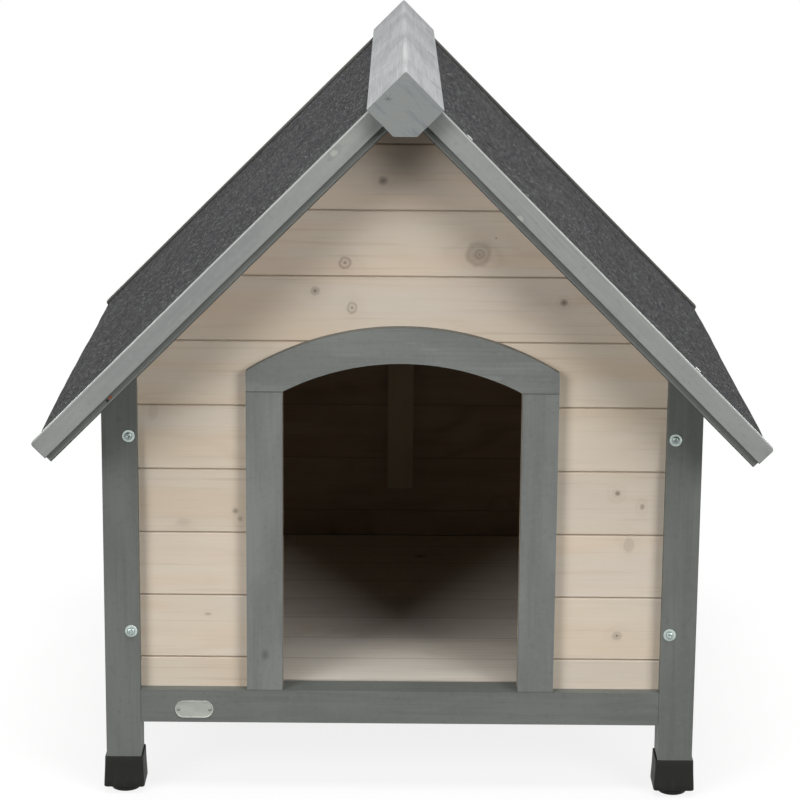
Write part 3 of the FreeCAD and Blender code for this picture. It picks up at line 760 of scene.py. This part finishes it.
SCREW_METAL = metal_material("zinc_screws", ZINC, ZINC_SHADE, CRYSTALS, 0.24)
WASHER_METAL = metal_material("zinc_washers", WASHER_ZINC, ZINC_DULL, CRYSTALS, 0.3)
NAIL_SKIN = metal_material("steel_nails", NAIL_METAL, ZINC_SHADE, CRYSTALS, 0.35)
STAPLE_METAL = metal_material("staple_steel", STAPLE_STEEL, ZINC, CRYSTALS, 0.35)
PLATE_SKIN = metal_material("brushed_plate", PLATE_METAL, PLATE_DULL, BRUSHED, 0.42)
FELT_SKIN = felt_material()
FOOT_SKIN = plastic_material("plastic_feet", FOOT_BLACK, 0.5)
GLIDE_SKIN = plastic_material("plastic_glides", GLIDE_BLACK, 0.4)


def wall_materials():
    """Whitewashed walls that are bare inside, and a paler floor."""
    front = whitewashed("boards_front", GRAIN_X, 5, knots=FRONT_KNOTS, inner=(FRONT_BOARD_MIDDLE_Y, 1))
    floor = whitewashed("boards_floor", GRAIN_X_FLAT, 89, FLOOR_COURSES, scatter=FLOOR_SCATTER,
                        joint=(0.3 * MM, 0.8 * MM), pale=FLOOR_PALE)
    materials = {"front_board_": front, "floor_boards": floor}
    for wall, grain, seed, inner in (
        ("rear", GRAIN_X, 21, (REAR_BOARD_MIDDLE_Y, -1)),
        ("left", GRAIN_Y, 34, (-SIDE_BOARD_MIDDLE_X, 1)),
        ("right", GRAIN_Y, 55, (SIDE_BOARD_MIDDLE_X, -1)),
    ):
        boards = whitewashed("boards_" + wall, grain, seed, scatter=WALL_SCATTER, inner=inner)
        materials[wall + "_wall_boards"] = boards
    return materials


def frame_materials():
    """Grey glazed posts, rails, sills and door frame."""
    sill = glazed("glaze_sills", GRAIN_X, 6, POST, scatter=POST_SCATTER, marks=sill_look)
    return {
        "post_": glazed("glaze_posts", GRAIN_Z, 2, POST, scatter=POST_SCATTER),
        "front_sill": sill,
        "rear_sill": sill,
        "bottom_rail_": glazed("glaze_bottom_rails", GRAIN_Y, 7, POST, scatter=POST_SCATTER),
        "top_rail_": glazed("glaze_top_rails", GRAIN_Y, 17, POST, scatter=POST_SCATTER),
        "door_jamb_": glazed("glaze_jambs", GRAIN_Z, 3, DOOR, knots=JAMB_KNOTS, marks=jamb_look),
        "door_arch": glazed("glaze_head", GRAIN_X, 4, DOOR, marks=head_look),
    }


def slope_materials(side, grain, plank_grain, step, barge_knot, strip_marks):
    """Glazed barges and rafters and bare planks of one slope, a step being added to each seed."""
    barge = glazed("glaze_barge_" + side, grain, 8 + step, BARGE, worn=BARGE_WEAR_AND_HIGHLIGHT, wear=0.3,
                   marks=barge_look(*barge_knot))
    rear_barge = glazed("glaze_barge_rear_" + side, grain, 18 + step, REAR, wear=0.15, marks=rear_barge_look)
    return {
        "barge_front_" + side: barge,
        "barge_rear_" + side: rear_barge,
        "rafter_front_" + side: glazed("glaze_rafter_" + side, grain, 10 + step, STRIP_LIT, wear=0.1,
                                       marks=strip_marks),
        "rafter_rear_" + side: glazed("glaze_rafter_rear_" + side, grain, 30 + step, POST),
        "roof_planks_" + side: bare_pine("pine_planks_" + side, plank_grain, 15 + step, PLANK_COURSES,
                                         PLANK_SCATTER),
    }


def roof_materials():
    """Both slopes, and the beam between them."""
    beam = glazed("glaze_beam", GRAIN_Y, 12, BEAM, worn=BEAM_WORN, wear=0.8, marks=beam_marks, specular=0.1)
    return {
        **slope_materials("left", GRAIN_LEFT_SLOPE, GRAIN_PLANK_LEFT, 0, LEFT_BARGE_KNOT, left_rafter_look),
        **slope_materials("right", GRAIN_RIGHT_SLOPE, GRAIN_PLANK_RIGHT, 1, RIGHT_BARGE_KNOT, strip_look),
        "ridge_beam": beam,
    }


def small_materials():
    """Battens and cleats, and the fittings, felt and feet that new pieces stand for."""
    batten = bare_pine("pine_battens", GRAIN_Z, 13, tint=BATTEN_PALE)
    return {
        "rear_batten": batten,
        "front_gable_batten": batten,
        "floor_cleats": bare_pine("pine_cleats", GRAIN_Y, 14),
        "roof_felt_": FELT_SKIN,
        "foot_": FOOT_SKIN,
        "glide_": GLIDE_SKIN,
        "post_screws": SCREW_METAL,
        "post_washers": WASHER_METAL,
        "sill_plate": PLATE_SKIN,
        "plate_nails": NAIL_SKIN,
    }


def dress_nodes():
    """Puts its material on each CAD node."""
    materials = {**wall_materials(), **frame_materials(), **roof_materials(), **small_materials()}
    for name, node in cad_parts.items():
        for start, material in materials.items():
            if name.startswith(start):
                node.data.materials.clear()
                node.data.materials.append(material)
                break
        else:
            raise RuntimeError("no material for " + name)


# ------------------------- new pieces
SHARP_ANGLE = 35  # degrees
SIDES = ((-1, "left"), (1, "right"))


def link(name, data):
    """A new object in the scene."""
    thing = bpy.data.objects.new(name, data)
    bpy.context.scene.collection.objects.link(thing)
    return thing


def metres(*rows):
    """Rows of lengths that are written in millimetres."""
    return [[length * MM for length in row] for row in rows]


def add_piece(name, shape, material, stands_for, body="house"):
    """Links a finished mesh, and says which body carries it and which nodes it stands for."""
    bmesh.ops.recalc_face_normals(shape, faces=shape.faces[:])
    for face in shape.faces:
        face.smooth = True
    mesh = bpy.data.meshes.new(name)
    shape.to_mesh(mesh)
    shape.free()
    mesh.set_sharp_from_angle(angle=math.radians(SHARP_ANGLE))
    mesh.materials.append(material)
    piece = link(name, mesh)
    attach(piece, body)
    if stands_for:
        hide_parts(*stands_for)


def lofts(solids, closed=False):
    """Skins over rows of rings with as many points each, capped at the ends or closed on themselves."""
    shape = bmesh.new()
    for rings in solids:
        rows = [[shape.verts.new(point) for point in ring] for ring in rings]
        for low, high in zip(rows, rows[1:] + rows[:1] if closed else rows[1:]):
            for index in range(len(low)):
                after = (index + 1) % len(low)
                shape.faces.new((low[index], low[after], high[after], high[index]))
        if not closed:
            shape.faces.new(rows[0])
            shape.faces.new(rows[-1])
    return shape


def circle(sides):
    """Angles spread evenly round a circle."""
    return [2 * math.pi * index / sides for index in range(sides)]


def slope_place(side, along, depth, y):
    """A point of one slope: along it from the beam, and depth below the top of the barges."""
    x = SLOPE_START_X + (along - depth) * HALF_SQUARE
    z = SLOPE_START_Z - (along + depth) * HALF_SQUARE
    return Vector((side * x, y, z))


FELT_THICKNESS = 2.5 * MM
FELT_HEM = 21.1 * MM
FELT_BEND = 4.5 * MM
FELT_BULGE = 3.0 * MM  # the hem stands out this far in the middle of the eave
FELT_BULGE_START = 60 * MM  # how far up the slope from the eave it starts to
FELT_WAVE = 0.8 * MM
# Bumps to a metre down the slope and along the eave, seed, and share of the wave.
FELT_SWELLS = ((11, 7, 3.0, 1.0), (34, 23, 9.0, 0.5))
FELT_FLAT_STEPS = 40
FELT_BEND_STEPS = 7
FELT_HEM_STEPS = 5
FELT_SECTIONS = 48


def felt_path():
    """The felt's outer face as (along, depth, direction out) from the beam, over the eave, down the hem."""
    flat_end = SLOPE_LENGTH - FELT_BEND
    steps = range(FELT_FLAT_STEPS + 1)
    path = [(flat_end * step / FELT_FLAT_STEPS, FELT_DEPTH, 0.0) for step in steps]
    for step in range(1, FELT_BEND_STEPS + 1):
        turn = math.pi / 2 * step / FELT_BEND_STEPS
        along = flat_end + FELT_BEND * math.sin(turn)
        depth = FELT_DEPTH + FELT_BEND * (1 - math.cos(turn))
        path.append((along, depth, turn))
    hem = FELT_HEM - FELT_DEPTH - FELT_BEND
    for step in range(1, FELT_HEM_STEPS + 1):
        path.append((SLOPE_LENGTH, FELT_DEPTH + FELT_BEND + hem * step / FELT_HEM_STEPS, math.pi / 2))
    return path


def felt_ring(side, y):
    """Section of one slope's felt at a y: a slightly uneven outer face, and an even inner one."""
    outer = []
    inner = []
    reach = 1 - (y / BARGE_INNER_Y) ** 2
    for along, depth, turn in felt_path():
        to_eave = max(0.0, min(1.0, 1 - (SLOPE_LENGTH - along) / FELT_BULGE_START))
        stretch = FELT_BULGE * reach * to_eave ** 2
        swell = 0.0
        for down, over, seed, share in FELT_SWELLS:
            swell += share * noise.noise(Vector((along * down, y * over, seed + side)))
        rise = FELT_WAVE * swell * min(1.0, 6 * reach)
        for row, out in ((outer, rise), (inner, -FELT_THICKNESS)):
            out_along = along + stretch + math.sin(turn) * out
            row.append(slope_place(side, out_along, depth - math.cos(turn) * out, y))
    return outer + inner[::-1]


def make_felt():
    """Felt on both slopes, turned down over the eaves, its hem standing out a little in the middle."""
    ys = [BARGE_INNER_Y * (2 * step / FELT_SECTIONS - 1) for step in range(FELT_SECTIONS + 1)]
    for side, name in SIDES:
        shape = lofts([[felt_ring(side, y) for y in ys]])
        add_piece("felt_cover_" + name, shape, FELT_SKIN, ["roof_felt_" + name])


FOOT_SECTIONS = metres(
    # height, width, corner radius
    (8.0, 42.6, 3.0), (8.3, 44.0, 3.4), (9.0, 44.8, 3.6), (16.0, 44.2, 3.4), (26.0, 43.0, 3.2),
    (36.0, 42.2, 3.0), (42.2, 41.9, 2.9), (42.8, 41.5, 2.7), (43.0, 40.9, 2.5),
)
CORNER_STEPS = 6


def rounded_square(x, y, z, side, corner):
    """Points of a level square with rounded corners."""
    points = []
    straight = side / 2 - corner
    for quarter in range(4):
        for step in range(CORNER_STEPS + 1):
            turn = math.pi / 2 * (quarter + step / CORNER_STEPS)
            middle_x = x + straight * (1 if quarter in (0, 3) else -1)
            middle_y = y + straight * (1 if quarter in (0, 1) else -1)
            points.append(Vector((middle_x + corner * math.cos(turn), middle_y + corner * math.sin(turn), z)))
    return points


def corner_names():
    """Each corner of the house as (name, x, y) of its post's middle."""
    for side, left_right in SIDES:
        for y, end in zip(POST_MIDDLE_Y, ("front", "rear")):
            yield end + "_" + left_right, side * POST_MIDDLE_X, y


def make_feet():
    """Plastic cups a little wider than the posts that stand in them."""
    for corner, x, y in corner_names():
        shape = lofts([[rounded_square(x, y, *section) for section in FOOT_SECTIONS]])
        add_piece("foot_cup_" + corner, shape, FOOT_SKIN, ["foot_" + corner])


GLIDE_PAD = metres(
    # radius, height
    (1.0, 0.0), (12.6, 0.0), (14.0, 0.2), (15.2, 0.8), (15.9, 2.0), (16.0, 3.2), (16.0, 5.8), (15.6, 6.8),
    (14.6, 7.4), (6.0, 7.6),
)
STEM_RADIUS = 3.6 * MM
STEM_START = 7.7 * MM
STEM_TOP = 33.5 * MM
THREAD_PITCH = 1.25 * MM
THREAD_DEPTH = 0.45 * MM
GLIDE_ANGLES = circle(36)


def turned_point(x, y, z, radius, angle):
    """A point of one ring of a glide."""
    return Vector((x + radius * math.cos(angle), y + radius * math.sin(angle), z))


def glide_rings(x, y):
    """Rings of a round pad and of the threaded stem on it."""
    rings = []
    for radius, z in GLIDE_PAD:
        rings.append([turned_point(x, y, z, radius, angle) for angle in GLIDE_ANGLES])
    rise = THREAD_PITCH / 4
    for step in range(int((STEM_TOP - STEM_START) / rise) + 1):
        z = STEM_START + step * rise
        ring = []
        for angle in GLIDE_ANGLES:
            phase = (z / THREAD_PITCH - angle / (2 * math.pi)) % 1.0
            crest = 1 - abs(2 * phase - 1)
            ring.append(turned_point(x, y, z, STEM_RADIUS + THREAD_DEPTH * (crest - 0.5), angle))
        rings.append(ring)
    return rings


def make_glides():
    """Levelling glides: pads with rounded rims on threaded stems."""
    for corner, x, y in corner_names():
        shape = lofts([glide_rings(x, y)])
        name = "glide_" + corner
        add_piece("levelling_" + name, shape, GLIDE_SKIN, [name], body=name + "_screw")


SCREW_X = 294 * MM
SCREW_LOW = 188 * MM
SCREW_HIGH = 407.64 * MM
SCREW_PLACES = [(side * SCREW_X, z) for side in (-1, 1) for z in (SCREW_HIGH, SCREW_LOW)]
FRONT_TURNS = (20, 62, 8, 38)  # degrees that each screw's recess is turned
REAR_TURNS = (51, 12, 73, 30)
HEAD_RADIUS = 4.1 * MM
HEAD_BASE = 2.6 * MM
HEAD_CROWN = 1.5 * MM
HEAD_STEPS = 18
CROSS_REACH = 2.3 * MM
CROSS_HALF = 0.55 * MM
CROSS_DEPTH = 1.3 * MM
# Sections as (radius, height over the post).
WASHER_PROFILE = metres(
    (2.4, 0.0), (6.6, 0.0), (6.85, 0.25), (6.85, 0.85), (6.5, 1.15), (5.9, 1.2), (2.6, 1.2), (2.4, 1.0),
)
HEAD_SIDE = metres((3.7, 1.2), (4.2, 1.4), (4.25, 2.1), (4.1, 2.6))
NAIL_PROFILE = metres((1.9, 0.75), (1.9, 1.1), (1.5, 1.5), (0.8, 1.7), (0.1, 1.75))
FITTING_ANGLES = circle(48)


def fitting_point(place, out, radius, height, angle):
    """A point round an axis that stands out of a post, out being -1 at the front and +1 at the rear."""
    x, y, z = place
    return Vector((x + radius * math.cos(angle), y + out * height, z + radius * math.sin(angle)))


def fitting_rings(place, out, profile):
    """Rings round such an axis."""
    return [
        [fitting_point(place, out, radius, height, angle) for angle in FITTING_ANGLES]
        for radius, height in profile
    ]


def recess(radius, angle):
    """Depth of the cross recess at a place on the head."""
    u = abs(radius * math.cos(angle))
    v = abs(radius * math.sin(angle))
    if min(u, v) > CROSS_HALF or max(u, v) > CROSS_REACH:
        return 0.0
    return CROSS_DEPTH * (1.15 - max(u, v) / CROSS_REACH)


def head_rings(place, out, turn):
    """Rings of a pan head with a cross recess turned by an angle."""
    rings = fitting_rings(place, out, HEAD_SIDE)
    for step in range(1, HEAD_STEPS + 1):
        radius = HEAD_RADIUS * (1 - step / (HEAD_STEPS + 0.5))
        dome = HEAD_BASE + HEAD_CROWN * math.sqrt(1 - (radius / HEAD_RADIUS) ** 2)
        ring = []
        for angle in FITTING_ANGLES:
            height = dome - recess(radius, angle - math.radians(turn))
            ring.append(fitting_point(place, out, radius, height, angle))
        rings.append(ring)
    return rings


def make_screws():
    """Pan-head screws on washers, at their bores in the front and the rear posts."""
    heads = []
    washers = []
    for turns, y, out in ((FRONT_TURNS, FRONT_Y, -1), (REAR_TURNS, REAR_Y, 1)):
        for (x, z), turn in zip(SCREW_PLACES, turns):
            heads.append(head_rings((x, y, z), out, turn))
            washers.append(fitting_rings((x, y, z), out, WASHER_PROFILE))
    add_piece("screw_heads", lofts(heads), SCREW_METAL, ["post_screws"])
    washer_shape = lofts(washers, closed=True)
    add_piece("screw_washers", washer_shape, WASHER_METAL, ["post_washers"])


PLATE_MIDDLE = Vector((-226.0 * MM, 0, 98.5 * MM))
PLATE_LENGTH = 42.6 * MM
PLATE_HEIGHT = 20.0 * MM
PLATE_END_STEPS = 16
PLATE_RINGS = metres(
    # inset of the outline, height over the sill
    (0.25, 0.0), (0.0, 0.2), (0.0, 0.8), (0.3, 1.1), (1.0, 1.15), (1.5, 0.85), (1.8, 0.8),
)
NAIL_SPACING = 34.6 * MM


def stadium(inset, height):
    """Outline of a plate with round ends, drawn in from its edge, at a height over the sill."""
    radius = PLATE_HEIGHT / 2 - inset
    reach = (PLATE_LENGTH - PLATE_HEIGHT) / 2
    points = []
    for side in (1, -1):
        for step in range(PLATE_END_STEPS + 1):
            turn = side * math.pi / 2 - side * math.pi * step / PLATE_END_STEPS
            x = PLATE_MIDDLE.x + side * (reach + radius * math.cos(turn))
            z = PLATE_MIDDLE.z + radius * math.sin(turn)
            points.append(Vector((x, FRONT_Y - height, z)))
    return points


def make_plate():
    """The bare plate with a raised rim, held by two small nails."""
    plate = lofts([[stadium(*ring) for ring in PLATE_RINGS]])
    add_piece("bare_sill_plate", plate, PLATE_SKIN, ["sill_plate"])
    nails = []
    for side in (-1, 1):
        place = (PLATE_MIDDLE.x + side * NAIL_SPACING / 2, FRONT_Y, PLATE_MIDDLE.z)
        nails.append(fitting_rings(place, -1, NAIL_PROFILE))
    add_piece("nail_heads", lofts(nails), NAIL_SKIN, ["plate_nails"])


STAPLES = metres((44, -320), (391, -318))  # distance down the right slope, y
STAPLE_LENGTH = 8 * MM
STAPLE_RADIUS = 0.35 * MM
STAPLE_FLATNESS = 1.4
STAPLE_RISE = 0.3 * MM
STAPLE_ANGLES = circle(10)
# Shares of the length and of the radius.
STAPLE_SECTIONS = ((0, 0.35), (0.06, 0.85), (0.12, 1.0), (0.88, 1.0), (0.94, 0.85), (1, 0.35))


def staple_ring(along, y, share):
    """Section of a staple's crown, at a share of its full radius."""
    ring = []
    for angle in STAPLE_ANGLES:
        depth = FELT_DEPTH - STAPLE_RISE + share * STAPLE_RADIUS * math.sin(angle)
        off = share * STAPLE_RADIUS * STAPLE_FLATNESS * math.cos(angle)
        ring.append(slope_place(1, along, depth, y + off))
    return ring


def make_staples():
    """Two flat crowns of staples beside the right barge."""
    crowns = [
        [staple_ring(along + step * STAPLE_LENGTH, y, share) for step, share in STAPLE_SECTIONS]
        for along, y in STAPLES
    ]
    add_piece("felt_staples", lofts(crowns), STAPLE_METAL, [])


# ------------------------- camera and studio
def make_camera():
    """The photograph's view."""
    pitch = math.radians(CAMERA_PITCH)
    yaw = math.radians(CAMERA_YAW)
    roll = math.radians(CAMERA_ROLL)
    level_right = Vector((math.cos(yaw), math.sin(yaw), 0))
    forward = Vector((-math.sin(yaw) * math.cos(pitch), math.cos(yaw) * math.cos(pitch), -math.sin(pitch)))
    level_up = level_right.cross(forward)
    right = math.cos(roll) * level_right + math.sin(roll) * level_up
    up = -math.sin(roll) * level_right + math.cos(roll) * level_up
    data = bpy.data.cameras.new("camera")
    data.sensor_width = SENSOR_WIDTH
    data.lens = CAMERA_FOCAL_PIXELS / IMAGE_PIXELS * SENSOR_WIDTH
    data.clip_start = 0.1
    data.clip_end = 100
    camera = link("camera", data)
    turn = Matrix((right, up, -forward)).transposed().to_4x4()
    camera.matrix_world = Matrix.Translation(CAMERA_PLACE) @ turn
    bpy.context.scene.camera = camera


CORNER_LIGHTS = (
    # start of the name, distance aside, y, z, aimed at, width, power
    ("", 1.95, -2.7, 1.5, (0, -0.2, 0.4), 1.4, 56),
    ("rear_", 1.9, 2.9, 0.8, (0, 0.1, 0.4), 1.2, 40),
)
TOP_LIGHT = ((0.0, -0.6, 3.0), (0, 0, 0.4), 2.0, 112)  # place, aimed at, width, power
ALL_ROUND_LIGHT = 0.06


def area_light(name, place, target, width, power):
    """A square soft box aimed at a point."""
    data = bpy.data.lights.new(name, "AREA")
    data.shape = "SQUARE"
    data.size = width
    data.energy = power
    light = link(name, data)
    light.location = place
    light.rotation_mode = "QUATERNION"
    light.rotation_quaternion = (Vector(target) - Vector(place)).to_track_quat("-Z", "Y")


def make_lights():
    """Soft boxes at the four corners and overhead."""
    for start, aside, y, z, target, width, power in CORNER_LIGHTS:
        for side, name in SIDES:
            area_light(start + name + "_softbox", (side * aside, y, z), target, width, power)
    area_light("top_softbox", *TOP_LIGHT)


def make_world():
    """White behind everything, with a dim white light all round."""
    net = Net(bpy.data.worlds.new("studio"))
    dim = net.node("Background", {"Color": PURE_WHITE, "Strength": ALL_ROUND_LIGHT})
    white = net.node("Background", {"Color": PURE_WHITE, "Strength": 1.0})
    bpy.context.scene.world = net.finish_mixed(net.seen_directly(), dim, white, "OutputWorld")


FLOOR_REACH = 30.0
FLOOR_SQUARES = 8
SHADOW_REACH = 1.6
FLOOR_SHARE = 0.16  # of the near floor that shows the light on it, the rest being plain white
FLOOR_WHITE = 0.95
FLOOR_BOUNCE = 0.12  # brightness of the floor as the house sees it


def floor_material():
    """Plain white far off, and partly lit near the house, so that it keeps a soft shadow."""
    net = new_net("studio_floor")
    seen = net.seen_directly()
    grey = seen * (FLOOR_WHITE - FLOOR_BOUNCE) + FLOOR_BOUNCE
    lit = net.node("BsdfDiffuse", {"Color": net.combine(grey, grey, grey)})
    white = net.node("Emission", {"Strength": 1.0})
    x, y, _ = net.split(net.place)
    far = net.ramp(net.reach(x, y), 0.5 * SHADOW_REACH, SHADOW_REACH, 1.0 - FLOOR_SHARE, 1.0)
    return net.finish_mixed(far * seen, lit, white, "OutputMaterial")


def make_floor():
    """The studio's floor."""
    mesh = bpy.data.meshes.new("studio_floor")
    shape = bmesh.new()
    bmesh.ops.create_grid(shape, x_segments=FLOOR_SQUARES, y_segments=FLOOR_SQUARES, size=FLOOR_REACH)
    shape.to_mesh(mesh)
    shape.free()
    mesh.materials.append(floor_material())
    floor = link("studio_floor", mesh)


# ------------------------- the scene
dress_nodes()
make_felt()
make_feet()
make_glides()
make_screws()
make_plate()
make_staples()
make_camera()
make_lights()
make_world()
make_floor()
bpy.context.scene.view_settings.view_transform = "Standard"
